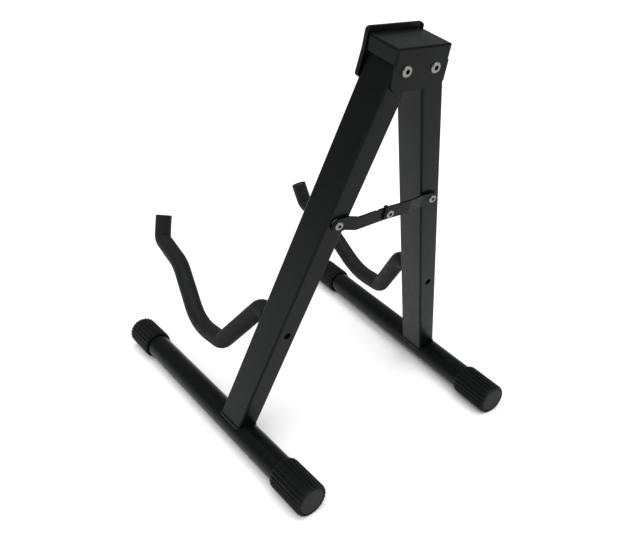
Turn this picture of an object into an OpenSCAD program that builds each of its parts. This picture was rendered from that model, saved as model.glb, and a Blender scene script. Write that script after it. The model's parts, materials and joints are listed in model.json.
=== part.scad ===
// Folding A-frame instrument stand.
// Two side frames, each a leg welded to a foot tube and fitted with a padded arm,
// hang from a sheet-steel hinge bracket and are held apart by an over-centre brace.
// The stand rests on z = 0, its width runs along X and its arms reach towards -Y.

/* [Stance] */
// Leg length, from its hinge to the centre line of the foot tube
leg_length = 356; // [280:1:440]
// Angle of each leg out from the middle plane
spread = 17; // [13:0.5:21]
// Angle that the frame leans back
lean = 12.5; // [6:0.5:18]

/* [Legs] */
// Width of the leg tube, across the stand
leg_w = 20; // [16:0.5:25]
// Depth of the leg tube, front to back
leg_d = 30; // [25:0.5:40]
// Wall of the leg and foot tubes
tube_wall = 1.2; // [1:0.1:2]
// Outer corner radius of the leg tube
leg_round = 2; // [1:0.1:3]
// Space between the two legs when they are folded
leg_space = 7; // [6:0.5:14]

/* [Feet] */
// Diameter of the foot tube
foot_d = 25; // [20:0.5:32]
// Foot length in front of the leg, to the end of the cap
foot_front = 204.5; // [150:1:260]
// Foot length behind the leg, to the end of the cap
foot_rear = 117; // [90:1:160]
// Size of the weld bead between leg and foot
weld = 1; // [0.6:0.1:2]

/* [Foot caps] */
// Length of a rubber foot cap
cap_length = 41; // [30:1:55]
// Rubber thickness over the tube, ribs included
cap_wall = 2.95; // [2.5:0.05:4]
// Thickness of the closed end
cap_end = 3; // [2:0.1:5]
// Number of ribs round a cap
cap_ribs = 24; // [16:1:32]
// Radius of the groove between two ribs
cap_groove = 0.9; // [0.6:0.05:1.2]

/* [Hinge bracket] */
// Thickness of the bracket sheet
sheet = 1.2; // [1:0.1:2.5]
// Height of the bracket's top above the hinges
bracket_rise = 16; // [15:0.5:22]
// Depth of the front and rear plates below the hinges
bracket_drop = 14.7; // [12:0.1:20]
// Height of the side skirt's lower edge above the hinges
skirt_low = 4.7; // [2:0.1:6]
// Bend radius of the bracket's edges
bend = 1.6; // [1.3:0.1:3]
// Diameter of the hinge rivets
hinge_rivet_d = 6; // [5:0.5:8]
// Thickness of the nylon hinge washers
washer_t = 0.6; // [0.5:0.1:1.5]

/* [Rest pad] */
// Thickness of the pad in front of the bracket
pad_t = 2.6; // [2:0.1:6]
// Height of the pad above the top of the bracket
pad_rise = 4; // [2:0.1:8]
// Half width of the pad at its top edge
pad_half_top = 26.2; // [26:0.1:29]
// Half width of the pad at its bottom edge
pad_half_low = 29.4; // [27:0.1:34]

/* [Arms] */
// Distance of the arm socket below the hinge, along the leg
arm_at = 235; // [200:1:260]
// Diameter of the steel rod
rod_d = 8; // [6:0.5:10]
// Diameter of the foam sleeve
foam_d = 17.5; // [14:0.5:20]
// How far in front of the leg's middle the arm's valley lies
valley_out = 57; // [50:0.5:64]
// How far below its socket the valley lies
valley_drop = 65; // [50:0.5:70]
// How far in front of the leg's middle the arm ends
arm_reach = 223.5; // [215:0.5:245]
// Turn of the left arm in its socket, outwards
arm_turn_left = 3; // [-90:1:90]
// Turn of the right arm in its socket, outwards
arm_turn_right = -6; // [-90:1:90]

/* [Brace] */
// Distance of the brace rivets below the hinges, along the leg
brace_at = 123; // [100:1:150]
// Width of a brace link
link_w = 12; // [10:0.5:14]
// Thickness of a brace link
link_t = 1.5; // [1:0.1:2]
// How far the middle rivet sits below the line of the outer two
over_centre = 1.4; // [0.6:0.1:2]
// Diameter of the brace rivets
brace_rivet_d = 5; // [4:0.5:6]

/* [Hidden] */
$fn = 48;

LEFT = 1;
RIGHT = -1;
run_fit = 0.05;        // radial play of a pin in its hole
face_play = 0.1;       // play between two flat faces that turn on each other
swing_play = 0.3;      // room round a piece that swings
foam_play = 0.12;      // room between the rod and the flats of the foam's bore
over = 1;              // overshoot of a cut

// Stance
foot_r = foot_d / 2;
cap_r = foot_r + cap_wall;
hinge_x = (leg_w + leg_space) / 2;
hinge_z = cap_r + leg_length * cos(spread) * cos(lean);
foot_pitch = atan(tan(lean) / cos(spread));
foot_toe = asin(sin(spread) * sin(foot_pitch));

// The arm's centre line: how far out from the leg and how far down from the socket
arm_rear = -1.2;
arm_neck = leg_d / 2 + 12;
belly = [valley_out + 42, valley_drop + 12];
hip = [arm_reach - 59.5, 48];
tip_base = [arm_reach - 13, 47];
tip_top = 24.5;
arm_path = [
    [arm_rear, 0], [arm_neck, 0], [valley_out, -valley_drop],
    [belly[0], -belly[1]], [hip[0], -hip[1]],
    [tip_base[0], -tip_base[1]], [arm_reach, -tip_top]
];
arm_bends = [12, 14, 57, 50, 10];
rod_r = rod_d / 2;
foam_r = foam_d / 2;
foam_start = leg_d / 2 + 1.2;
ring_sides = 20;
bend_sag = 0.08;
plug_r = foam_r - 2.4;
plug_t = 1.5;
plug_inset = 0.8;

// Centre of the whole stand, front to back
foot_y = -leg_length * cos(spread) * sin(lean);
front_y = foot_y - foot_front * cos(foot_toe) - cap_r * sin(foot_toe);
rear_y = foot_y + foot_rear * cos(foot_toe) + cap_r * sin(foot_toe);
tip_y = -arm_reach * cos(lean) - (arm_at + tip_top) * cos(spread) * sin(lean) - foam_r * 0.95;
head_y = -(min(front_y, tip_y) + rear_y) / 2;

// Hinge bracket
plate_in = leg_d / 2 + washer_t + 2 * face_play;
plate_out = plate_in + sheet;
skirt_in = hinge_x + leg_w / 2 + swing_play;
skirt_out = skirt_in + sheet;
foot_corner = 4;
leg_over = sqrt(pow(bracket_rise - sheet - 0.5, 2) - pow(leg_w / 2, 2));
hinge_r = hinge_rivet_d / 2;
hinge_head_r = hinge_r + 1.2;
head_t = 1.2;
washer_r = hinge_r + 4;

// Rest pad
pad_back = leg_d / 2 + 0.4;
pad_top = bracket_rise + pad_rise;
pad_corner = 2;
pad_low = bracket_drop + 0.8;

// Arm socket
bush_r = rod_r + 3;
bush_length = 16;
bush_front = leg_d / 2 - tube_wall;
bush_rear = bush_front - bush_length;
screw_r = 2.5;
screw_head_r = 4.25;
screw_head_h = 5;
screw_length = 18;
arm_washer_t = 1;
access_r = 3.4;
bore_end = screw_length + arm_rear - 0.8;
stub_end = bore_end + 2.5;

// Brace
brace_x = hinge_x + brace_at * sin(spread);
brace_z = -brace_at * cos(spread);
middle_x = -1;
middle_z = brace_z - over_centre;
spacer_t = 0.9;
near_v = leg_d / 2 + spacer_t + face_play;
far_v = near_v + link_t + swing_play;
brace_r = brace_rivet_d / 2;
brace_head_r = brace_r + 1.2;
lip_in = 2.5;
lip_out = 5.5;

// Frames: the head is the leaning plane of the hinges, a side is one leg's own frame
module in_head() {
    translate([0, head_y, hinge_z]) rotate([-lean, 0, 0]) children();
}

module mirrored(side) {
    if (side == RIGHT) mirror([1, 0, 0]) children();
    else children();
}

module in_side(side) {
    mirrored(side) in_head() translate([hinge_x, 0, 0]) rotate([0, -spread, 0]) children();
}

module in_foot(side) {
    in_side(side) translate([0, 0, -leg_length]) rotate([foot_pitch, 0, 0]) children();
}

// A flat shape in X and Z, between two distances behind the middle plane
module slab(v_from, v_to) {
    translate([0, v_to, 0]) rotate([90, 0, 0]) linear_extrude(v_to - v_from) children();
}

// A round bar along Y
module rod_y(r, y_from, y_to) {
    translate([0, y_from, 0]) rotate([-90, 0, 0]) cylinder(r = r, h = y_to - y_from);
}

module rounded(w, d, r) {
    square([w - 2 * r, d], center = true);
    square([w, d - 2 * r], center = true);
    for (x = [-1, 1], y = [-1, 1])
        translate([x * (w / 2 - r), y * (d / 2 - r)]) circle(r);
}

// Bracket
// What is cut from a corner at the origin to round it, with the corner up and to the right
module corner_cut(r) {
    translate([-r, -r]) difference() {
        square(2 * r);
        circle(r);
    }
}

module plate_outline() {
    difference() {
        polygon([
            [skirt_out, bracket_rise], [skirt_out, foot_corner - bracket_drop],
            [skirt_out - foot_corner, -bracket_drop], [foot_corner - skirt_out, -bracket_drop],
            [-skirt_out, foot_corner - bracket_drop], [-skirt_out, bracket_rise]
        ]);
        for (x = [0, 1])
            mirror([x, 0]) translate([skirt_out, bracket_rise]) corner_cut(bend);
    }
}

module side_outline() {
    difference() {
        translate([-plate_out, -bracket_drop]) square([2 * plate_out, bracket_drop + bracket_rise]);
        for (y = [0, 1])
            mirror([y, 0]) translate([plate_out, bracket_rise]) corner_cut(bend);
    }
}

module edge_cut() {
    difference() {
        cube([2 * bend, 2 * bend, bracket_rise + over]);
        translate([0, 0, -over]) cylinder(r = bend, h = bracket_rise + 3 * over);
    }
}

module hinge_bracket() {
    color("#1c1d1f") in_head() difference() {
        intersection() {
            slab(-plate_out, plate_out) plate_outline();
            rotate([90, 0, 90]) translate([0, 0, -2 * skirt_out])
                linear_extrude(4 * skirt_out) side_outline();
        }
        translate([-skirt_in, -plate_in, -bracket_drop - over])
            cube([2 * skirt_in, 2 * plate_in, bracket_drop + over + bracket_rise - sheet]);
        translate([-2 * skirt_out, -plate_in, -bracket_drop - over])
            cube([4 * skirt_out, 2 * plate_in, bracket_drop + over + skirt_low]);
        for (x = [0, 1], y = [0, 1])
            mirror([x, 0, 0]) mirror([0, y, 0])
                translate([skirt_out - bend, plate_out - bend, skirt_low]) edge_cut();
        for (x = [-hinge_x, hinge_x])
            translate([x, 0, 0]) rod_y(hinge_r + run_fit, -plate_out - over, plate_out + over);
    }
}

module pad_outline() {
    polygon([
        [pad_half_top, pad_top - pad_corner], [pad_half_low, pad_corner - pad_low],
        [pad_half_low - pad_corner, -pad_low], [pad_corner - pad_half_low, -pad_low],
        [-pad_half_low, pad_corner - pad_low], [-pad_half_top, pad_top - pad_corner],
        [pad_corner - pad_half_top, pad_top], [pad_half_top - pad_corner, pad_top]
    ]);
}

module rest_pad() {
    color("#151516") in_head() difference() {
        slab(-plate_out - pad_t, -pad_back) pad_outline();
        slab(-plate_out, 0) translate([-skirt_out - face_play, -bracket_drop])
            square([2 * (skirt_out + face_play), bracket_drop + 2 * pad_top]);
        for (x = [-hinge_x, hinge_x])
            translate([x, 0, 0])
                rod_y(hinge_head_r + face_play, -plate_out - head_t - face_play, 0);
    }
}

module hinge_washers() {
    color("#d9d6cc") in_head()
        for (x = [-hinge_x, hinge_x], v = [-leg_d / 2 - face_play - washer_t, leg_d / 2 + face_play])
            translate([x, 0, 0]) difference() {
                rod_y(washer_r, v, v + washer_t);
                rod_y(hinge_r + run_fit, v - over, v + washer_t + over);
            }
}

// A tubular rivet along Y: shank, rear head and rolled front head
module rivet(r, head_r, v_from, v_to, tail_t) {
    hollow = r * 0.62;
    difference() {
        union() {
            rod_y(r, v_from, v_to);
            rod_y(head_r, v_to, v_to + head_t * 0.5);
            translate([0, v_to + head_t * 0.5, 0]) rotate([-90, 0, 0])
                cylinder(r1 = head_r, r2 = head_r - head_t * 0.5, h = head_t * 0.5);
            if (tail_t > 0) rod_y(head_r, v_from - tail_t, v_from);
        }
        rod_y(hollow, v_to - min(6, (v_to - v_from) * 0.6), v_to + head_t + over);
    }
}

module hinge_rivet(side) {
    color("#c9ccd0") in_head() translate([side * hinge_x, 0, 0])
        rivet(hinge_r, hinge_head_r, -plate_out, plate_out, head_t);
}

// Side frames
module leg_outline(grow) {
    rounded(leg_w + 2 * grow, leg_d + 2 * grow, leg_round + grow);
}

// Everything above the foot tube's centre line, in the foot's frame
module above_foot() {
    rotate([foot_pitch, 0, 0]) translate([-leg_d, -leg_d, 0]) cube([2 * leg_d, 2 * leg_d, 3 * leg_d]);
}

module leg_tube(side) {
    low = leg_d;
    color("#1b1c1e") in_side(side) difference() {
        union() {
            translate([0, 0, -leg_length + low]) linear_extrude(leg_length - low + leg_over)
                leg_outline(0);
            translate([0, 0, -leg_length]) intersection() {
                translate([0, 0, -low]) linear_extrude(2 * low) leg_outline(0);
                above_foot();
            }
        }
        translate([0, 0, -leg_length - low]) linear_extrude(leg_length + low + leg_over + over)
            rounded(leg_w - 2 * tube_wall, leg_d - 2 * tube_wall, leg_round - tube_wall);
        translate([0, 0, -leg_length]) rotate([foot_pitch, 0, 0]) rod_y(foot_r, -leg_d, leg_d);
        rod_y(hinge_r + run_fit, -leg_d, leg_d);
        translate([0, 0, -brace_at]) rod_y(brace_r + run_fit, 0, leg_d);
        translate([0, 0, -arm_at]) {
            rod_y(rod_r + swing_play, -leg_d, 0);
            rod_y(access_r, 0, leg_d);
        }
    }
}

module foot_tube(side) {
    color("#1b1c1e") in_foot(side) difference() {
        rod_y(foot_r, cap_end - foot_front, foot_rear - cap_end);
        rod_y(foot_r - tube_wall, -foot_front, foot_rear);
    }
}

module foot_weld(side) {
    color("#232426") in_side(side) translate([0, 0, -leg_length]) intersection() {
        difference() {
            translate([0, 0, -foot_d]) linear_extrude(2 * foot_d) leg_outline(weld);
            translate([0, 0, -foot_d - over]) linear_extrude(2 * foot_d + 2 * over) leg_outline(0);
        }
        rotate([foot_pitch, 0, 0]) difference() {
            rod_y(foot_r + weld, -leg_d, leg_d);
            rod_y(foot_r, -leg_d - over, leg_d + over);
        }
        above_foot();
    }
}

// A ribbed cap on the Z axis, with its closed end at the origin and its mouth upwards
module cap_body() {
    end_chamfer = 1;
    mouth_chamfer = 2;
    mouth_r = foot_r + 1.6;
    mouth_depth = 3;
    ring_r = foot_r - 0.6;
    difference() {
        intersection() {
            linear_extrude(cap_length) difference() {
                circle(cap_r);
                for (i = [0:cap_ribs - 1])
                    rotate((i + 0.5) * 360 / cap_ribs) translate([cap_r + cap_groove * 0.2, 0])
                        circle(cap_groove, $fn = 24);
            }
            rotate_extrude() polygon([
                [0, 0], [cap_r - end_chamfer, 0], [cap_r, end_chamfer],
                [cap_r, cap_length - mouth_chamfer],
                [cap_r - mouth_chamfer / 2, cap_length], [0, cap_length]
            ]);
        }
        translate([0, 0, cap_end]) cylinder(r = foot_r + run_fit, h = cap_length);
        translate([0, 0, cap_length - mouth_depth]) cylinder(r = mouth_r, h = mouth_depth + over);
        translate([0, 0, -over]) difference() {
            cylinder(r = ring_r, h = over + 0.8);
            cylinder(r = ring_r - 0.8, h = over + 0.8);
        }
    }
}

module foot_cap_front(side) {
    color("#121213") in_foot(side) translate([0, -foot_front, 0]) rotate([-90, 0, 0]) cap_body();
}

module foot_cap_rear(side) {
    color("#121213") in_foot(side) translate([0, foot_rear, 0]) rotate([90, 0, 0]) cap_body();
}

// Arms
function heading(p, i) = let (d = p[i + 1] - p[i]) atan2(d[1], d[0]);
function turn(p, i) = heading(p, i) - heading(p, i - 1);
function setback(p, bends, i) =
    i < 1 || i > len(p) - 2 ? 0 : bends[i - 1] * tan(abs(turn(p, i)) / 2);

// Stations along straight lengths and round bends, each a point and a heading
function stations(p, bends) = [
    [p[0], heading(p, 0)],
    for (i = [1:len(p) - 2]) each bend_stations(p, i, bends[i - 1], setback(p, bends, i)),
    [p[len(p) - 1], heading(p, len(p) - 2)]
];

function bend_stations(p, i, bend_r, back) = let (
        start = p[i] - back * unit(p[i] - p[i - 1]),
        first = heading(p, i - 1),
        way = sign(turn(p, i)),
        centre = start + way * bend_r * [-sin(first), cos(first)],
        steps = ceil(abs(turn(p, i)) / (2 * acos(1 - bend_sag / bend_r)))
    ) [
        for (k = [0:steps]) let (at = first + turn(p, i) * k / steps)
            [centre + way * bend_r * [sin(at), -cos(at)], at]
    ];

function unit(d) = d / norm(d);

function ring(station, r) = let (at = station[0], side = [-sin(station[1]), cos(station[1])]) [
    for (k = [0:ring_sides - 1]) let (a = (k + 0.5) * 360 / ring_sides)
        [at[0] + r * cos(a) * side[0], at[1] + r * cos(a) * side[1], r * sin(a)]
];

function wall(from, to) = [
    for (k = [0:ring_sides - 1]) let (next = (k + 1) % ring_sides)
        [from * ring_sides + k, to * ring_sides + k, to * ring_sides + next, from * ring_sides + next]
];

// A solid through a row of rings, closed by end faces or by meeting its own start
module through(rings, closed_loop) {
    last = len(rings) - 1;
    polyhedron(
        points = [for (r = rings) each r],
        faces = concat(
            [for (i = [0:last - 1]) each wall(i, i + 1)],
            closed_loop ? wall(last, 0) : [
                [for (k = [0:ring_sides - 1]) k],
                [for (k = [ring_sides - 1:-1:0]) last * ring_sides + k]
            ]
        )
    );
}

// A sleeve: outside from start to end, a recess in the end face, then the bore back to the start
module sleeve(path, r_out, r_in, recess_r, recess) {
    last = len(path) - 1;
    mouth = path[last];
    seat = [mouth[0] - recess * [cos(mouth[1]), sin(mouth[1])], mouth[1]];
    through(concat(
        [for (s = path) ring(s, r_out)],
        [ring(mouth, recess_r), ring(seat, recess_r), ring(seat, r_in)],
        [for (i = [last - 1:-1:0]) ring(path[i], r_in)]
    ), true);
}

// The arm lies in its leg's plane and turns about its socket
module in_arm(side) {
    turned = side == LEFT ? arm_turn_left : arm_turn_right;
    in_side(side) translate([0, 0, -arm_at]) rotate([0, -turned, 0]) children();
}

module in_arm_plane() {
    rotate([0, 0, -90]) rotate([90, 0, 0]) children();
}

function shortened(p, cut) =
    let (n = len(p) - 1, d = (p[n] - p[n - 1]) / norm(p[n] - p[n - 1]))
    [for (i = [0:n]) i < n ? p[i] : p[n] - cut * d];

function starting(p, out) = [for (i = [0:len(p) - 1]) i == 0 ? [out, 0] : p[i]];

// The arm's tip, with Z along the last straight length and the end at the origin
module at_tip() {
    n = len(arm_path) - 1;
    in_arm_plane() translate(arm_path[n])
        rotate(heading(arm_path, n - 1)) rotate([0, 90, 0]) children();
}

module arm_rod(side) {
    color("#222325") in_arm(side) {
        difference() {
            rod_y(rod_r, -stub_end, -arm_rear);
            rod_y(screw_r + run_fit, -bore_end, -arm_rear + over);
        }
        in_arm_plane() through([
            for (s = stations(starting(shortened(arm_path, plug_inset + plug_t), bore_end + 0.5), arm_bends))
                ring(s, rod_r - run_fit)
        ], false);
    }
}

module arm_foam(side) {
    color("#19191a") in_arm(side) in_arm_plane() sleeve(
        stations(starting(arm_path, foam_start), arm_bends),
        foam_r, rod_r + foam_play, plug_r + swing_play, plug_inset + plug_t
    );
}

module arm_end_plug(side) {
    color("#101011") in_arm(side) at_tip()
        translate([0, 0, -plug_inset - plug_t]) cylinder(r = plug_r, h = plug_t);
}

module arm_bush(side) {
    color("#8d9093") in_side(side) translate([0, 0, -arm_at]) difference() {
        rod_y(bush_r, -bush_front, -bush_rear);
        rod_y(rod_r + run_fit, -bush_front - over, -bush_rear + over);
    }
}

module arm_washer(side) {
    v = -bush_rear + face_play;
    color("#c9ccd0") in_arm(side) difference() {
        rod_y(bush_r - 0.5, v, v + arm_washer_t);
        rod_y(screw_r + run_fit, v - over, v + arm_washer_t + over);
    }
}

module arm_screw(side) {
    v = -bush_rear + face_play + arm_washer_t;
    color("#3a3b3d") in_arm(side) difference() {
        union() {
            rod_y(screw_r, v - screw_length, v);
            rod_y(screw_head_r, v, v + screw_head_h);
        }
        translate([0, v + screw_head_h * 0.4, 0]) rotate([-90, 0, 0])
            cylinder(d = 4.6, h = screw_head_h, $fn = 6);
    }
}

// Brace
// A point beside corner i of a path, for a strip with mitred corners
function beside(p, i, half) = let (
        before = heading(p, max(i - 1, 0)),
        after = heading(p, min(i, len(p) - 2)),
        way = (before + after) / 2
    )
    p[i] + half / cos((after - before) / 2) * [-sin(way), cos(way)];

function strip(p) = concat(
    [for (i = [0:len(p) - 1]) beside(p, i, link_w / 2)],
    [for (i = [len(p) - 1:-1:0]) beside(p, i, -link_w / 2)]
);

module brace_link_left() {
    middle = [middle_x, middle_z];
    outer = [brace_x, brace_z];
    color("#1d1e20") in_head() difference() {
        union() {
            slab(near_v, near_v + link_t)
                polygon(strip([middle, outer - [19, 3.4], outer - [8, 0], outer]));
            for (p = [middle, outer])
                translate([p[0], 0, p[1]]) rod_y(link_w / 2, near_v, near_v + link_t);
        }
        for (p = [middle, outer])
            translate([p[0], 0, p[1]]) rod_y(brace_r + run_fit, 0, 2 * leg_d);
        translate([middle_x + 12, 2 * leg_d, middle_z + link_w / 2]) rotate([90, 45, 0])
            linear_extrude(2 * leg_d) square(2.6, center = true);
    }
}

module brace_link_right() {
    ramp_from = -brace_x + 13;
    ramp_to = ramp_from + 14;
    end_x = middle_x + lip_out;
    color("#1d1e20") in_head() difference() {
        union() {
            intersection() {
                slab(near_v - over, far_v + link_t + over) {
                    translate([-brace_x, brace_z]) circle(d = link_w);
                    translate([-brace_x, brace_z - link_w / 2]) square([end_x + brace_x, link_w]);
                }
                translate([0, 0, brace_z - link_w]) linear_extrude(2 * link_w) polygon([
                    [-brace_x - link_w, near_v], [ramp_from, near_v], [ramp_to, far_v],
                    [end_x, far_v], [end_x, far_v + link_t], [ramp_to, far_v + link_t],
                    [ramp_from, near_v + link_t], [-brace_x - link_w, near_v + link_t]
                ]);
            }
            translate([middle_x + lip_in, near_v, middle_z + link_w / 2 + 0.15])
                cube([lip_out - lip_in, far_v - near_v + link_t, over_centre - 0.15]);
        }
        for (p = [[-brace_x, 0, brace_z], [middle_x, 0, middle_z]])
            translate(p) rod_y(brace_r + run_fit, 0, 2 * leg_d);
    }
}

module spacer() {
    difference() {
        rod_y(link_w / 2 - 1, leg_d / 2, leg_d / 2 + spacer_t);
        rod_y(brace_r + run_fit, 0, leg_d);
    }
}

module brace_spacer(side) {
    color("#d9d6cc") in_side(side) translate([0, 0, -brace_at]) spacer();
}

module brace_rivet_left() {
    color("#c9ccd0") in_side(LEFT) translate([0, 0, -brace_at])
        rivet(brace_r, brace_head_r, leg_d / 2 - tube_wall, near_v + link_t + face_play, 0.8);
}

module brace_rivet_middle() {
    color("#c9ccd0") in_head() translate([middle_x, 0, middle_z])
        rivet(brace_r, brace_head_r, near_v - face_play, far_v + link_t, 0.5);
}

// The right rivet's head turns with the link, its tail stays in the leg
module brace_rivet_right() {
    color("#c9ccd0") in_head() translate([-brace_x, 0, brace_z])
        rivet(brace_r, brace_head_r, near_v, near_v + link_t, 0);
}

module brace_anchor_right() {
    color("#c9ccd0") in_side(RIGHT) translate([0, 0, -brace_at]) {
        rod_y(brace_r, leg_d / 2 - tube_wall, leg_d / 2 + spacer_t);
        rod_y(brace_head_r, leg_d / 2 - tube_wall - 0.8, leg_d / 2 - tube_wall);
    }
}

hinge_bracket();
rest_pad();
hinge_washers();
hinge_rivet(LEFT);  // hinge_rivet_left
hinge_rivet(RIGHT);  // hinge_rivet_right
leg_tube(LEFT);  // leg_tube_left
leg_tube(RIGHT);  // leg_tube_right
foot_tube(LEFT);  // foot_tube_left
foot_tube(RIGHT);  // foot_tube_right
foot_weld(LEFT);  // foot_weld_left
foot_weld(RIGHT);  // foot_weld_right
foot_cap_front(LEFT);  // foot_cap_front_left
foot_cap_front(RIGHT);  // foot_cap_front_right
foot_cap_rear(LEFT);  // foot_cap_rear_left
foot_cap_rear(RIGHT);  // foot_cap_rear_right
arm_bush(LEFT);  // arm_bush_left
arm_bush(RIGHT);  // arm_bush_right
arm_rod(LEFT);  // arm_rod_left
arm_rod(RIGHT);  // arm_rod_right
arm_foam(LEFT);  // arm_foam_left
arm_foam(RIGHT);  // arm_foam_right
arm_end_plug(LEFT);  // arm_end_plug_left
arm_end_plug(RIGHT);  // arm_end_plug_right
arm_screw(LEFT);  // arm_screw_left
arm_screw(RIGHT);  // arm_screw_right
arm_washer(LEFT);  // arm_washer_left
arm_washer(RIGHT);  // arm_washer_right
brace_link_left();
brace_link_right();
brace_spacer(LEFT);  // brace_spacer_left
brace_spacer(RIGHT);  // brace_spacer_right
brace_rivet_left();
brace_rivet_middle();
brace_rivet_right();
brace_anchor_right();
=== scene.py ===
# %% [markdown]
# # A folding A-frame stand, finished in black
# The stand is two welded side frames hung from a sheet-steel hinge bracket. The CAD frame already
# holds every rigid piece at its true size, so this file keeps those pieces and gives them real
# finishes. It rebuilds the soft ones, which CAD can only rough out: the foam sleeves, the moulded
# rest pad and the ribbed rubber feet.

# %% Load the frame
import json
import math

import bmesh
import bpy
from mathutils import Matrix, Vector, noise


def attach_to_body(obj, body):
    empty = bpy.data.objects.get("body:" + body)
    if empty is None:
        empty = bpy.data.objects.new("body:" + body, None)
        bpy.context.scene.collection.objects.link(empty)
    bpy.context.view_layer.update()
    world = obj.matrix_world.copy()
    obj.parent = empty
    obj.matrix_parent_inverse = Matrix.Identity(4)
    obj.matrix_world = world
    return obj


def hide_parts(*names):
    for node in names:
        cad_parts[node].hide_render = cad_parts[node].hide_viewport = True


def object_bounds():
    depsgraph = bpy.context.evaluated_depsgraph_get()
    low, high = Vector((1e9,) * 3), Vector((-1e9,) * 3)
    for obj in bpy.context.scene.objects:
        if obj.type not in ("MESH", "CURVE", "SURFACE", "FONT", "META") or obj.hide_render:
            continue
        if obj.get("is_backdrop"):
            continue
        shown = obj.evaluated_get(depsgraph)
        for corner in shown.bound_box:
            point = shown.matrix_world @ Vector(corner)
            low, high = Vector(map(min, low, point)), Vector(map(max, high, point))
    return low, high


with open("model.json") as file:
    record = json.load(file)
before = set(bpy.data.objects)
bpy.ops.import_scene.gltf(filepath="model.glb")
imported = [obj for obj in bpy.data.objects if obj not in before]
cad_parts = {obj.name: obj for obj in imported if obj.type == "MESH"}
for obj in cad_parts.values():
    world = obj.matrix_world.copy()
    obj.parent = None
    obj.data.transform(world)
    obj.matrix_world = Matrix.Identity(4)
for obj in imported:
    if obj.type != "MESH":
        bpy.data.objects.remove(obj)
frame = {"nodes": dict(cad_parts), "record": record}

MM = 0.001
cad_lo, cad_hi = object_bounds()
nodes = frame["nodes"]
joints = {j["name"]: j for j in frame["record"]["behaviour"]["joints"]}
print("frame", len(nodes), "nodes, box", [round(v, 4) for v in (*cad_lo, *cad_hi)])

# %% [markdown]
# ## Where things are
# The joints say where the hinges and arm sockets are, and which way they point. From two of them
# come the leaning plane of the hinges and the line of each leg, so neither has to be typed in.

# %% Axes of the stand
SIDES = {"left": 1, "right": -1}
hinge = Vector(joints["fold_left"]["pos_m"])
socket = Vector(joints["swivel_left"]["pos_m"])
BACK = Vector(joints["fold_left"]["axis"]).normalized()
ACROSS = Vector((1, 0, 0))
UP = ACROSS.cross(BACK)
leg_down = (socket - hinge).normalized()
SPREAD = math.asin(leg_down.dot(ACROSS))
LEAN = math.asin(UP.y)
HEAD = Matrix.Translation((0, hinge.y, hinge.z)) @ Matrix((ACROSS, BACK, UP)).transposed().to_4x4()
print(f"spread {math.degrees(SPREAD):.1f} deg, lean {math.degrees(LEAN):.1f} deg")


def side_frame(side):
    """The frame of one leg: Z up to its hinge, Y backwards, X outwards, so the right is mirrored."""
    out = math.cos(SPREAD) * ACROSS * side + math.sin(SPREAD) * UP
    up = -math.sin(SPREAD) * ACROSS * side + math.cos(SPREAD) * UP
    place = Matrix.Translation((side * hinge.x, hinge.y, hinge.z))
    return place @ Matrix((out, BACK, up)).transposed().to_4x4()


# %% [markdown]
# ## Helpers
# One function turns a paint-chart hex colour into the linear numbers that shaders use, one adds a
# shader or geometry node with its settings and links, and the rest turn points and faces into
# pieces that ride on a CAD body.

# %% Colour, node and mesh helpers
def linear(hex_colour):
    parts = [int(hex_colour[i:i + 2], 16) / 255 for i in (1, 3, 5)]
    return [c / 12.92 if c <= 0.04045 else ((c + 0.055) / 1.055) ** 2.4 for c in parts] + [1.0]


def add(tree, kind, settings=None, **inputs):
    """Adds a node; an input, by name or by _number, is a value or an output to link from."""
    node = tree.nodes.new(kind)
    for key, value in (settings or {}).items():
        setattr(node, key, value)
    for key, value in inputs.items():
        numbered = key[0] == "_" and key[1:].isdigit()
        socket_in = node.inputs[int(key[1:]) if numbered else key.replace("_", " ")]
        if isinstance(value, bpy.types.NodeSocket):
            tree.links.new(value, socket_in)
        else:
            socket_in.default_value = value
    return node


def clean_mesh(name, points, faces):
    """A mesh with doubled points merged and every face turned outwards."""
    mesh = bpy.data.meshes.new(name)
    mesh.from_pydata([tuple(p) for p in points], [], faces)
    bm = bmesh.new()
    bm.from_mesh(mesh)
    bmesh.ops.remove_doubles(bm, verts=bm.verts, dist=1e-6)
    bmesh.ops.recalc_face_normals(bm, faces=bm.faces)
    bm.to_mesh(mesh)
    bm.free()
    return mesh


def linked(name, data):
    obj = bpy.data.objects.new(name, data)
    bpy.context.scene.collection.objects.link(obj)
    return obj


def piece(name, points, faces, material, body, replaced):
    mesh = clean_mesh(name, points, faces)
    mesh.materials.append(material)
    obj = linked(name, mesh)
    attach(obj, body, replaced)
    return obj


def attach(obj, body, replaced):
    """Smooths a piece, hangs it on the body it rides on and hides the CAD pieces it stands for."""
    for polygon in obj.data.polygons:
        polygon.use_smooth = True
    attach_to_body(obj, body)
    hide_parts(*replaced)
    print(obj.name, len(obj.data.polygons), "faces")


def tube_faces(rings, sides, closed=False):
    """Quads between rings of points; a single face closes each end of a row that isn't closed."""
    quads = []
    for i in range(rings if closed else rings - 1):
        a, b = i * sides, (i + 1) % rings * sides
        quads += [(a + k, a + (k + 1) % sides, b + (k + 1) % sides, b + k) for k in range(sides)]
    if not closed:
        quads += [tuple(reversed(range(sides))), tuple(range((rings - 1) * sides, rings * sides))]
    return quads


# %% [markdown]
# ## Finishes
# Every finish is the same recipe with different numbers. A Principled shader gets its base colour
# from two close tones mixed by a slow noise, its roughness from a second noise, and its surface
# from a fine noise used as bump. The scales are worked out from the real grain size, so a powder
# coat gets its orange peel at about a millimetre and a foam its cells at about half of that.

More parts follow.
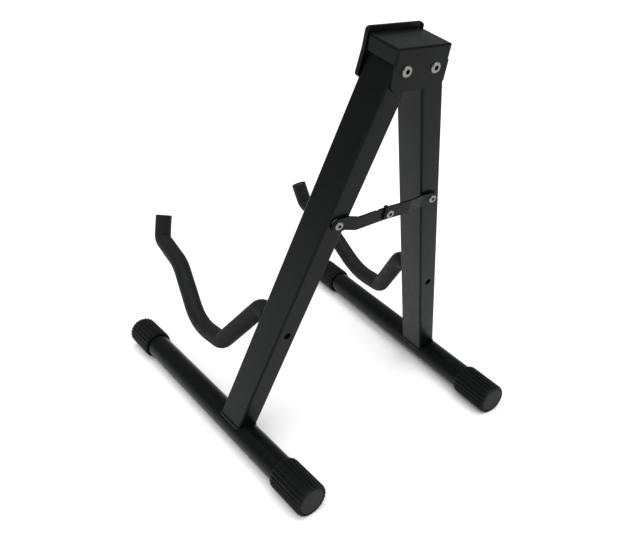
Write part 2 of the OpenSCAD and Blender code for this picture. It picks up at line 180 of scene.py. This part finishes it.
# %% One recipe for a finish
def finish(name, dark, light, roughness, grain_mm, grain_depth_mm, specular=0.5, metallic=0.0,
           patch_mm=30.0, rough_spread=0.08, sheen=0.0, specks=None):
    material = bpy.data.materials.new(name)
    material.use_nodes = True
    tree = material.node_tree
    tree.nodes.clear()
    where = add(tree, "ShaderNodeTexCoord").outputs["Object"]
    patches = add(tree, "ShaderNodeTexNoise", Vector=where, Scale=1 / (patch_mm * MM), Detail=3.0)
    tone = add(tree, "ShaderNodeMix", {"data_type": "RGBA"}, Factor=patches.outputs["Fac"],
               _6=linear(dark), _7=linear(light)).outputs[2]
    if specks:
        dots = add(tree, "ShaderNodeTexNoise", Vector=where, Scale=1 / (specks[1] * MM), Detail=2.0)
        rare = add(tree, "ShaderNodeMapRange", Value=dots.outputs["Fac"], From_Min=0.66,
                   From_Max=0.76).outputs["Result"]
        tone = add(tree, "ShaderNodeMix", {"data_type": "RGBA"}, Factor=rare, _6=tone,
                   _7=linear(specks[0])).outputs[2]
    gloss = add(tree, "ShaderNodeTexNoise", Vector=where, Scale=1 / (patch_mm * 0.4 * MM),
                Detail=4.0)
    rough = add(tree, "ShaderNodeMapRange", Value=gloss.outputs["Fac"], From_Min=0.3, From_Max=0.7,
                To_Min=roughness - rough_spread, To_Max=roughness + rough_spread)
    grain = add(tree, "ShaderNodeTexNoise", Vector=where, Scale=1 / (grain_mm * MM), Detail=2.5)
    bump = add(tree, "ShaderNodeBump", Height=grain.outputs["Fac"], Strength=1.0,
               Distance=grain_depth_mm * MM)
    shader = add(tree, "ShaderNodeBsdfPrincipled", Base_Color=tone, Metallic=metallic,
                 Roughness=rough.outputs["Result"], Normal=bump.outputs["Normal"])
    shader.inputs["Specular IOR Level"].default_value = specular
    shader.inputs["Sheen Weight"].default_value = sheen
    add(tree, "ShaderNodeOutputMaterial", Surface=shader.outputs["BSDF"])
    return material


# %% [markdown]
# The steel is powder coated: a thermoset paint baked on in one layer, satin, with a soft orange
# peel. Rivets are nickel-plated steel, so they are metal with a warm white tone. Feet and pad are
# moulded rubber, matt with a faint bloom, and the sleeves are closed-cell rubber foam, which has
# a skin of fine cells that scatters light at grazing angles.

# %% The finishes of the stand
POWDER = finish("satin_black_powder_coat", "#030606", "#060b0b", 0.34, 1.1, 0.035,
                specular=0.11, rough_spread=0.05)
NICKEL = finish("nickel_plated_steel", "#77756f", "#8e8b85", 0.34, 0.5, 0.01, metallic=1.0,
                patch_mm=4.0)
BARE = finish("bare_drawn_steel", "#8a8c8e", "#a2a4a5", 0.42, 0.4, 0.02, metallic=1.0)
BLACK_ZINC = finish("black_zinc_screw", "#2c2d30", "#3a3b3d", 0.38, 0.5, 0.01, metallic=0.7)
NYLON = finish("natural_nylon", "#c9c4b4", "#d6d2c4", 0.48, 0.6, 0.02)
CAP_RUBBER = finish("moulded_foot_rubber", "#040606", "#070b0b", 0.44, 0.5, 0.03,
                    specular=0.13, specks=("#101414", 1.6))
PAD_RUBBER = finish("moulded_pad_rubber", "#050707", "#090c0c", 0.42, 0.7, 0.03, specular=0.14)
FOAM = finish("closed_cell_foam", "#0f1111", "#141616", 0.60, 0.55, 0.09, specular=0.12,
              patch_mm=14.0, sheen=0.02, specks=("#1d1f1e", 1.1))
PLUG = finish("moulded_end_plug", "#0a0b0b", "#0e0f0f", 0.5, 0.5, 0.02, specular=0.2)

# %% Finishes on the CAD pieces
NODE_FINISH = {
    "hinge_bracket": POWDER, "leg_tube": POWDER, "foot_tube": POWDER, "foot_weld": POWDER,
    "brace_link": POWDER, "hinge_rivet": NICKEL, "brace_rivet": NICKEL, "brace_anchor": NICKEL,
    "arm_washer": NICKEL, "arm_rod": BARE, "arm_bush": BARE, "arm_screw": BLACK_ZINC,
    "hinge_washers": NYLON, "brace_spacer": NYLON, "arm_end_plug": PLUG,
}
for name, obj in nodes.items():
    for start, material in NODE_FINISH.items():
        if name.startswith(start):
            obj.data.materials.clear()
            obj.data.materials.append(material)
print("finished", sum(any(n.startswith(s) for s in NODE_FINISH) for n in nodes), "CAD pieces")

# %% [markdown]
# ## Foam sleeves
# A sleeve is a straight foam tube pushed over a bent rod. Where the rod bends sharply the foam
# can't stay round: the inside of the bend folds into a crease and the outside stretches. A curve
# with a round bevel would miss that, so the sleeve is lofted ring by ring along the rod's centre
# line, and the side that faces into a bend is pressed in near the bend's middle. The sharper the
# bend, the deeper the crease, with small wrinkles beside it and a swelling on either side.

# %% The rod's centre line
# Corners of the rod in mm from its pivot, (forwards, up), and the radius of the bend at each.
ARM_POINTS = [(16.2, 0), (27, 0), (57, -65), (99, -77), (164, -48), (210.5, -47), (223.5, -24.5)]
ARM_BENDS = [12, 14, 57, 50, 10]
ARM_TURN = {"left": math.radians(3), "right": math.radians(-6)}
STEP = 1.0


def centre_line(points, bends):
    """Samples (point, heading, distance), a crease for each bend, and the whole length in mm."""
    p = [Vector(q) for q in points]
    heads = [math.atan2((b - a).y, (b - a).x) for a, b in zip(p, p[1:])]
    samples, at, creases, run = [], p[0], [], 0.0
    for i, head in enumerate(heads):
        turn = heads[i + 1] - head if i + 1 < len(heads) else 0.0
        back = bends[i] * math.tan(abs(turn) / 2) if turn else 0.0
        stop = p[i + 1] - back * Vector((math.cos(head), math.sin(head)))
        length = (stop - at).length
        count = max(2, round(length / STEP))
        samples += [(at.lerp(stop, k / count), head, run + length * k / count)
                    for k in range(count)]
        run += length
        at = stop
        if turn:
            way = math.copysign(1, turn)
            centre = stop + way * bends[i] * Vector((-math.sin(head), math.cos(head)))
            count = max(3, round(abs(turn) * bends[i] / STEP))
            for k in range(count):
                h = head + turn * k / count
                here = centre + way * bends[i] * Vector((math.sin(h), -math.cos(h)))
                samples.append((here, h, run + abs(turn) * bends[i] * k / count))
            creases.append((run + abs(turn) * bends[i] / 2, way, abs(turn), bends[i]))
            run += abs(turn) * bends[i]
            at = centre + way * bends[i] * Vector((math.sin(head + turn), -math.cos(head + turn)))
    samples.append((p[-1], heads[-1], run))
    return samples, creases, run


# %% Loft the sleeves
FOAM_R = 8.75
BORE_R = 4.1
BORE_LEAD = 0.4
RIM = 1.1
RIM_STEPS = [0.0, 0.12, 0.35, 0.7]
RIM_END = 1.2
SIDES_ROUND = 56
PLUG_LIP = 2.4
PLUG_PLAY = 0.15
PLUG_DEPTH = 2.4
STIFF_BEND, BEND_RANGE = 18, 8
CREASE_DEPTH, CREASE_WIDTH = 1.5, 1.3
WRINKLE_DEPTH, WRINKLE_WAVE, WRINKLE_REACH = 0.22, 1.9, 5
SWELL_HEIGHT, SWELL_AT, SWELL_WIDTH = 0.25, 4.0, 2.2
LUMP_HEIGHT, LUMP_ROUND, LUMP_ALONG = 0.10, 1.3, 0.06


def foam_radius(along, angle, creases, length):
    """Radius of the foam in mm; angle 0 lies in the plane of the bends, left of the heading."""
    r = FOAM_R
    for place, way, turn, bend in creases:
        force = max(0.0, (STIFF_BEND - bend) / BEND_RANGE) * turn
        inward = max(0.0, way * math.cos(angle))
        near = along - place
        crease = CREASE_DEPTH * math.exp(-(near / CREASE_WIDTH) ** 2)
        wave = math.cos(near * WRINKLE_WAVE)
        wrinkle = WRINKLE_DEPTH * wave * math.exp(-(near / WRINKLE_REACH) ** 2)
        swell = SWELL_HEIGHT * math.exp(-((abs(near) - SWELL_AT) / SWELL_WIDTH) ** 2)
        r += force * (swell * inward - wrinkle * inward ** 2 - crease * inward ** 3)
    for end in (along, length - along):
        if end < RIM:
            r -= RIM - math.sqrt(max(0.0, RIM ** 2 - (RIM - end) ** 2))
    lumps = noise.noise(Vector((math.cos(angle) * LUMP_ROUND, math.sin(angle) * LUMP_ROUND,
                                along * LUMP_ALONG)))
    return min(FOAM_R, r + LUMP_HEIGHT * (lumps - 0.5))


def sleeve(side_name):
    """A sleeve with rounded rims, a recess for the end plug and a bore for the rod."""
    side = SIDES[side_name]
    angle = SPREAD + ARM_TURN[side_name]
    drop = math.sin(angle) * side * ACROSS - math.cos(angle) * UP
    sideways = drop.cross(BACK)
    pivot = Vector(joints[f"swivel_{side_name}"]["pos_m"])
    samples, creases, length = centre_line(ARM_POINTS, ARM_BENDS)
    inner = [s for s in samples if RIM_END < s[2] < length - RIM_END]
    first, last = samples[0], samples[-1]

    def shifted(sample, by, along):
        at, head, _ = sample
        return at + by * Vector((math.cos(head), math.sin(head))), head, along

    run = [shifted(first, s, s) for s in RIM_STEPS] + inner
    run += [shifted(last, -s, length - s) for s in reversed(RIM_STEPS)]
    points = []

    def ring(sample, radius_at):
        at, head, along = sample
        normal = Vector((-math.sin(head), math.cos(head)))
        for k in range(SIDES_ROUND):
            a = 2 * math.pi * k / SIDES_ROUND
            r = radius_at(along, a)
            flat = at + r * math.cos(a) * normal
            spot = -BACK * flat.x - drop * flat.y + sideways * (r * math.sin(a))
            points.append(pivot + spot * MM)

    for sample in run:
        ring(sample, lambda along, a: foam_radius(along, a, creases, length))
    plug_r = FOAM_R - PLUG_LIP + PLUG_PLAY
    for depth, r in ((0.0, plug_r + 0.8), (0.15, plug_r + 0.25), (0.6, plug_r),
                     (PLUG_DEPTH, plug_r), (PLUG_DEPTH, BORE_R)):
        ring(shifted(last, -depth, 0), lambda along, a: r)
    for sample in inner[-4::-4]:
        ring(sample, lambda along, a: BORE_R)
    ring(shifted(first, 0.0, 0), lambda along, a: BORE_R + BORE_LEAD)
    faces = tube_faces(len(points) // SIDES_ROUND, SIDES_ROUND, closed=True)
    piece(f"foam_sleeve_{side_name}", points, faces, FOAM,
          f"arm_{side_name}", [f"arm_foam_{side_name}"])


for side_name in SIDES:
    sleeve(side_name)

# %% [markdown]
# ## Ribbed feet
# The cap is a moulded rubber cup pressed over the tube, with ribs all round for grip. The cup is a
# turned profile. The ribs repeat, so a Geometry Nodes tree lays one round bar on each point of a
# circle and joins them to the cup. A rib keeps its full width along nearly all its length and
# narrows at its very ends. The number of ribs and every size are inputs of the tree.

# %% The rib tree
RIB_STEPS = 22
RIB_SIDES = 12
RIB_TAPER = 60.0
RIB_TIP = 0.55


def rib_tree():
    tree = bpy.data.node_groups.new("cap_ribs", "GeometryNodeTree")
    face = tree.interface
    face.new_socket("Geometry", in_out="INPUT", socket_type="NodeSocketGeometry")
    face.new_socket("Ribs", in_out="INPUT", socket_type="NodeSocketInt")
    for name in ("Rib radius", "Circle radius", "Start", "End"):
        face.new_socket(name, in_out="INPUT", socket_type="NodeSocketFloat")
    face.new_socket("Geometry", in_out="OUTPUT", socket_type="NodeSocketGeometry")
    given = add(tree, "NodeGroupInput").outputs
    low = add(tree, "ShaderNodeCombineXYZ", Z=given["Start"]).outputs[0]
    high = add(tree, "ShaderNodeCombineXYZ", Z=given["End"]).outputs[0]
    spine = add(tree, "GeometryNodeCurvePrimitiveLine", Start=low, End=high)
    spine = add(tree, "GeometryNodeResampleCurve", Curve=spine.outputs[0], Count=RIB_STEPS)
    along = add(tree, "GeometryNodeSplineParameter").outputs["Factor"]
    off = add(tree, "ShaderNodeMath", {"operation": "MULTIPLY_ADD"}, _0=along, _1=2.0, _2=-1.0)
    off = add(tree, "ShaderNodeMath", {"operation": "ABSOLUTE"}, _0=off.outputs[0])
    edge = add(tree, "ShaderNodeMath", {"operation": "POWER"}, _0=off.outputs[0], _1=RIB_TAPER)
    left = add(tree, "ShaderNodeMath", {"operation": "SUBTRACT"}, _0=1.0, _1=edge.outputs[0])
    shape = add(tree, "ShaderNodeMath", {"operation": "SQRT"}, _0=left.outputs[0])
    wide = add(tree, "ShaderNodeMath", {"operation": "MAXIMUM"}, _0=shape.outputs[0], _1=RIB_TIP)
    outline = add(tree, "GeometryNodeCurvePrimitiveCircle", Resolution=RIB_SIDES,
                  Radius=given["Rib radius"])
    bar = add(tree, "GeometryNodeCurveToMesh", Curve=spine.outputs[0],
              Profile_Curve=outline.outputs[0], Scale=wide.outputs[0], Fill_Caps=True)
    circle = add(tree, "GeometryNodeMeshCircle", Vertices=given["Ribs"],
                 Radius=given["Circle radius"])
    ribs = add(tree, "GeometryNodeInstanceOnPoints", Points=circle.outputs[0],
               Instance=bar.outputs[0])
    solid = add(tree, "GeometryNodeRealizeInstances", Geometry=ribs.outputs[0])
    joined = add(tree, "GeometryNodeJoinGeometry")
    tree.links.new(given["Geometry"], joined.inputs[0])
    tree.links.new(solid.outputs[0], joined.inputs[0])
    coated = add(tree, "GeometryNodeSetMaterial", Geometry=joined.outputs[0], Material=CAP_RUBBER)
    result = add(tree, "NodeGroupOutput")
    tree.links.new(coated.outputs[0], result.inputs[0])
    return tree


RIBS = rib_tree()
print("rib tree has", len(RIBS.nodes), "nodes")

# %% Turn the cup and add its ribs
LEG_LENGTH = 356.0
FOOT_FRONT = 204.5
FOOT_REAR = 117.0
CAP_LENGTH = 41.0
CAP_R = 15.45
CORE_R = 14.25
BORE = 12.56
RIBS_ROUND = 24
RIB_R = 1.3
RIB_START, RIB_END = 0.3, 40.2
# (radius, distance from the closed end) in mm: the end with its ring groove, wall, mouth and bore.
CUP_PROFILE = [
    (0, 0.3), (9, 0.15), (12.0, 0.2), (12.5, 0.4), (12.7, 1.3), (13.2, 1.3), (13.4, 0.3),
    (13.7, 0.0), (14.0, 0.1), (14.2, 0.5), (CORE_R, 2), (CORE_R, 39.6),
    (14.2, 40.6), (14.1, CAP_LENGTH), (13.9, CAP_LENGTH), (13.8, 40.6), (13.75, 38.2),
    (12.7, 38.0), (BORE, 37.4), (BORE, 3.2), (0, 3.0),
]
TURNED = 96


def cap(name, body, place):
    """Turns a cup at the origin, adds its ribs and moves the result to its place on a foot."""
    points = [(r * MM * math.cos(a), r * MM * math.sin(a), z * MM)
              for r, z in CUP_PROFILE
              for a in (2 * math.pi * k / TURNED for k in range(TURNED))]
    mesh = clean_mesh(name + "_cup", points, tube_faces(len(CUP_PROFILE), TURNED))
    cup = linked(name + "_cup", mesh)
    modifier = cup.modifiers.new("ribs", "NODES")
    modifier.node_group = RIBS
    sizes = {"Ribs": RIBS_ROUND, "Rib radius": RIB_R * MM, "Circle radius": (CAP_R - RIB_R) * MM,
             "Start": RIB_START * MM, "End": RIB_END * MM}
    for item in RIBS.interface.items_tree:
        if item.name in sizes and item.in_out == "INPUT":
            modifier[item.identifier] = sizes[item.name]
    graph = bpy.context.evaluated_depsgraph_get()
    made = bpy.data.meshes.new_from_object(cup.evaluated_get(graph))
    bpy.data.objects.remove(cup)
    made.transform(place)
    if place.determinant() < 0:
        made.flip_normals()
    obj = linked(name, made)
    attach(obj, body, [name.replace("ribbed", "foot")])


PITCH = math.atan(math.tan(LEAN) / math.cos(SPREAD))
for side_name, side in SIDES.items():
    leg = side_frame(side)
    foot = leg @ Matrix.Translation((0, 0, -LEG_LENGTH * MM)) @ Matrix.Rotation(PITCH, 4, "X")
    for end, y, turn in (("front", -FOOT_FRONT, -math.pi / 2), ("rear", FOOT_REAR, math.pi / 2)):
        place = foot @ Matrix.Translation((0, y * MM, 0)) @ Matrix.Rotation(turn, 4, "X")
        cap(f"ribbed_cap_{end}_{side_name}", f"leg_{side_name}", place)

# %% [markdown]
# ## Rest pad
# The pad is a soft rubber moulding that the back of an instrument leans on. It is gently crowned,
# with a rolled bead round its border, and its side and lower rims wrap back round the bracket's
# plate. A pressed cushion would be too slack for rubber, so it is lofted: the same rounded outline
# is repeated at different depths and scales, from the middle of the back to the middle of the front.

# %% Outline of the pad
PAD_TOP, PAD_LOW = 20.0, -15.5
HALF_TOP, HALF_WAIST, HALF_LOW = 26.2, 26.6, 29.4
WAIST = 5.0
PLATE_FRONT, PAD_REAR = -17.0, -15.0
CORNER = 3.0
ARC = 12
SPACING = 2.0


def pad_outline():
    """Points (x, z) round the pad, with the inward normal at each, and corners rounded off."""
    corners = [(HALF_TOP, PAD_TOP), (-HALF_TOP, PAD_TOP), (-HALF_WAIST, WAIST),
               (-HALF_LOW, PAD_LOW), (HALF_LOW, PAD_LOW), (HALF_WAIST, WAIST)]
    outline = []
    for i, corner in enumerate(corners):
        here = Vector(corner)
        before = (here - Vector(corners[i - 1])).normalized()
        after = (Vector(corners[(i + 1) % len(corners)]) - here).normalized()
        turn = math.atan2(before.x * after.y - before.y * after.x, before.dot(after))
        back = CORNER * math.tan(turn / 2)
        way = math.copysign(1, turn)
        centre = here - before * abs(back) + way * Vector((-before.y, before.x)) * CORNER
        start = math.atan2(-before.x * way, before.y * way)
        for k in range(ARC + 1):
            a = start + turn * k / ARC
            spoke = Vector((math.cos(a), math.sin(a)))
            outline.append((centre + CORNER * spoke, -way * spoke))
    dense = []
    for i, (at, inward) in enumerate(outline):
        dense.append((at, inward))
        following, inward_next = outline[(i + 1) % len(outline)]
        parts = int((following - at).length / SPACING)
        for k in range(1, parts):
            f = k / parts
            dense.append((at.lerp(following, f), inward.lerp(inward_next, f).normalized()))
    return dense


OUTLINE = pad_outline()
print("pad outline has", len(OUTLINE), "points")


# %% Loft the pad
WRAP = PAD_REAR - PLATE_FRONT
BACK_INSET, FACE_INSET = 1.2, 2.9
FACE, BEAD_FRONT, BEAD_BACK = -18.55, -19.05, -17.7
CROWN_REACH = 30


def pad_ring(inset, depth, scale=1.0, wrap=0.0, crown=0.0):
    """One ring of the loft: its inset from the border, and its depth behind the hinges, in mm."""
    middle = Vector((0, (PAD_TOP + PAD_LOW) / 2))
    ring = []
    for at, inward in OUTLINE:
        spot = middle + (at + inward * inset - middle) * scale
        sideways = min(1.0, max(0.0, (abs(inward.x) - 0.35) / 0.4))
        below = min(1.0, max(0.0, (-8.0 - at.y) / 3.0))
        v = depth + wrap * max(sideways, below)
        reach = 1 - ((spot - middle).x / CROWN_REACH) ** 2
        ring.append(HEAD @ (Vector((spot.x, v - crown * reach, spot.y)) * MM))
    return ring


BACK_FACE = [pad_ring(BACK_INSET, PLATE_FRONT, scale) for scale in (0.02, 0.5, 0.9)]
RIM_RINGS = [
    pad_ring(1.1, PLATE_FRONT), pad_ring(0.8, PLATE_FRONT, wrap=WRAP * 0.8),
    pad_ring(0.5, PLATE_FRONT, wrap=WRAP), pad_ring(0.2, PLATE_FRONT - 0.15, wrap=WRAP),
    pad_ring(0.0, PLATE_FRONT - 0.5, wrap=WRAP), pad_ring(0.15, BEAD_BACK, wrap=WRAP * 0.3),
]
BEAD = [pad_ring(inset, depth) for inset, depth in (
    (0.1, -17.9), (0.0, -18.2), (0.1, -18.6), (0.5, -18.95), (1.1, BEAD_FRONT), (1.7, -18.95),
    (2.2, -18.65), (2.6, -18.5))]
FRONT_FACE = [pad_ring(FACE_INSET, FACE, scale, crown=crown) for scale, crown in (
    (1.0, 0.1), (0.93, 0.35), (0.8, 0.6), (0.5, 0.9), (0.25, 1.0), (0.02, 1.0))]
RINGS = BACK_FACE + RIM_RINGS + BEAD + FRONT_FACE
pad = piece("moulded_rest_pad", [p for ring in RINGS for p in ring],
            tube_faces(len(RINGS), len(OUTLINE)), PAD_RUBBER, "bracket", ["rest_pad"])

# %% [markdown]
# ## Stage, light and camera
# The stand is black, so its shape shows by what it reflects. Two large soft panels, a wide light
# overhead and a pale room give every face its own even grey. The camera stands behind the left
# leg, a little above the bracket.

# %% Pale floor
bpy.ops.mesh.primitive_plane_add(size=12)
floor = bpy.context.object
floor.name = "pale_floor"
floor_paint = bpy.data.materials.new("pale_floor_paint")
floor_paint.use_nodes = True
shader = floor_paint.node_tree.nodes["Principled BSDF"]
shader.inputs["Base Color"].default_value = linear("#fbfbfb")
shader.inputs["Roughness"].default_value = 0.9
floor.data.materials.append(floor_paint)
floor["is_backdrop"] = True

# %% Soft light
MIDDLE = (0, 0, 0.18)
PANEL_SIZE = (1.0, 1.2)


def panel(name, at, watts):
    """A rectangular lamp that faces the middle of the stand."""
    light = bpy.data.lights.new(name, "AREA")
    light.shape = "RECTANGLE"
    light.size, light.size_y = PANEL_SIZE
    light.energy = watts
    obj = linked(name, light)
    obj.location = at
    obj.rotation_euler = (Vector(MIDDLE) - Vector(at)).to_track_quat("-Z", "Y").to_euler()


panel("rear_panel", (-0.4, 1.7, 0.9), 5)
panel("left_panel", (1.8, 0.2, 0.8), 3.5)
sky = linked("overhead_light", bpy.data.lights.new("overhead_light", "SUN"))
sky.data.energy = 3.0
sky.data.angle = math.radians(75)
sky.rotation_euler = (math.radians(-12), math.radians(8), 0)

world = bpy.data.worlds.new("pale_room")
world.use_nodes = True
world.node_tree.nodes["Background"].inputs["Color"].default_value = linear("#ffffff")
world.node_tree.nodes["Background"].inputs["Strength"].default_value = 0.4
bpy.context.scene.world = world
bpy.context.scene.view_settings.view_transform = "Standard"

# %% Camera
CAMERA_AT = Vector((0.3098, 0.4509, 0.4241))
AIM = Vector((0, 0.0156, 0.1344))
ROLL = math.radians(0.38)
camera = linked("camera", bpy.data.cameras.new("camera"))
camera.data.lens = 34.46
camera.data.clip_start = 0.01
camera.location = CAMERA_AT
camera.rotation_euler = (AIM - CAMERA_AT).to_track_quat("-Z", "Y").to_euler()
camera.rotation_euler.rotate_axis("Z", ROLL)
bpy.context.scene.camera = camera

# %% Size of the visual model beside the CAD model
seen_lo, seen_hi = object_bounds()
grown = [round((a - b) / MM, 2) for a, b in zip((*seen_lo, *seen_hi), (*cad_lo, *cad_hi))]
print("grown by", grown, "mm")
